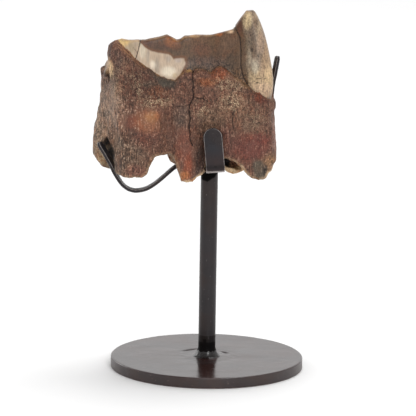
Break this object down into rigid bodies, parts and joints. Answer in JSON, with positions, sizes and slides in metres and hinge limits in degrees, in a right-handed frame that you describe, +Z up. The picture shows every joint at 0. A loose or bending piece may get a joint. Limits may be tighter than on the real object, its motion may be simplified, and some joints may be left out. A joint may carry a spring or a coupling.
{
  "type": "fossil rhinoceros tooth on a display stand",
  "caption": "Large ridged fossil molar with broken roots, held roots down by bent steel strips on a slim post over a round foot.",
  "frame": {"origin": "centre of the underside of the stand's round foot", "axes": "+Z up along the post; -Y towards the front, where the prong holds the tooth's face; +X to the right, towards the tooth's tall corner"},
  "size_m": [0.0746, 0.0672, 0.1304],
  "materials": {
    "fossil_tooth": "mineralised tooth: red-brown striated cement over cream and grey-brown enamel, satin",
    "disc_steel": "dark brown patinated steel, smooth semi-gloss with fine scratches",
    "dark_steel": "near-black blackened steel, satin, edges rubbed brighter"
  },
  "bodies": {
    "root": {"tooth": "fossil_tooth", "base_disc": "disc_steel", "post": "dark_steel", "front_prong": "dark_steel", "left_arm": "dark_steel", "right_arm": "dark_steel"}
  },
  "joints": []
}
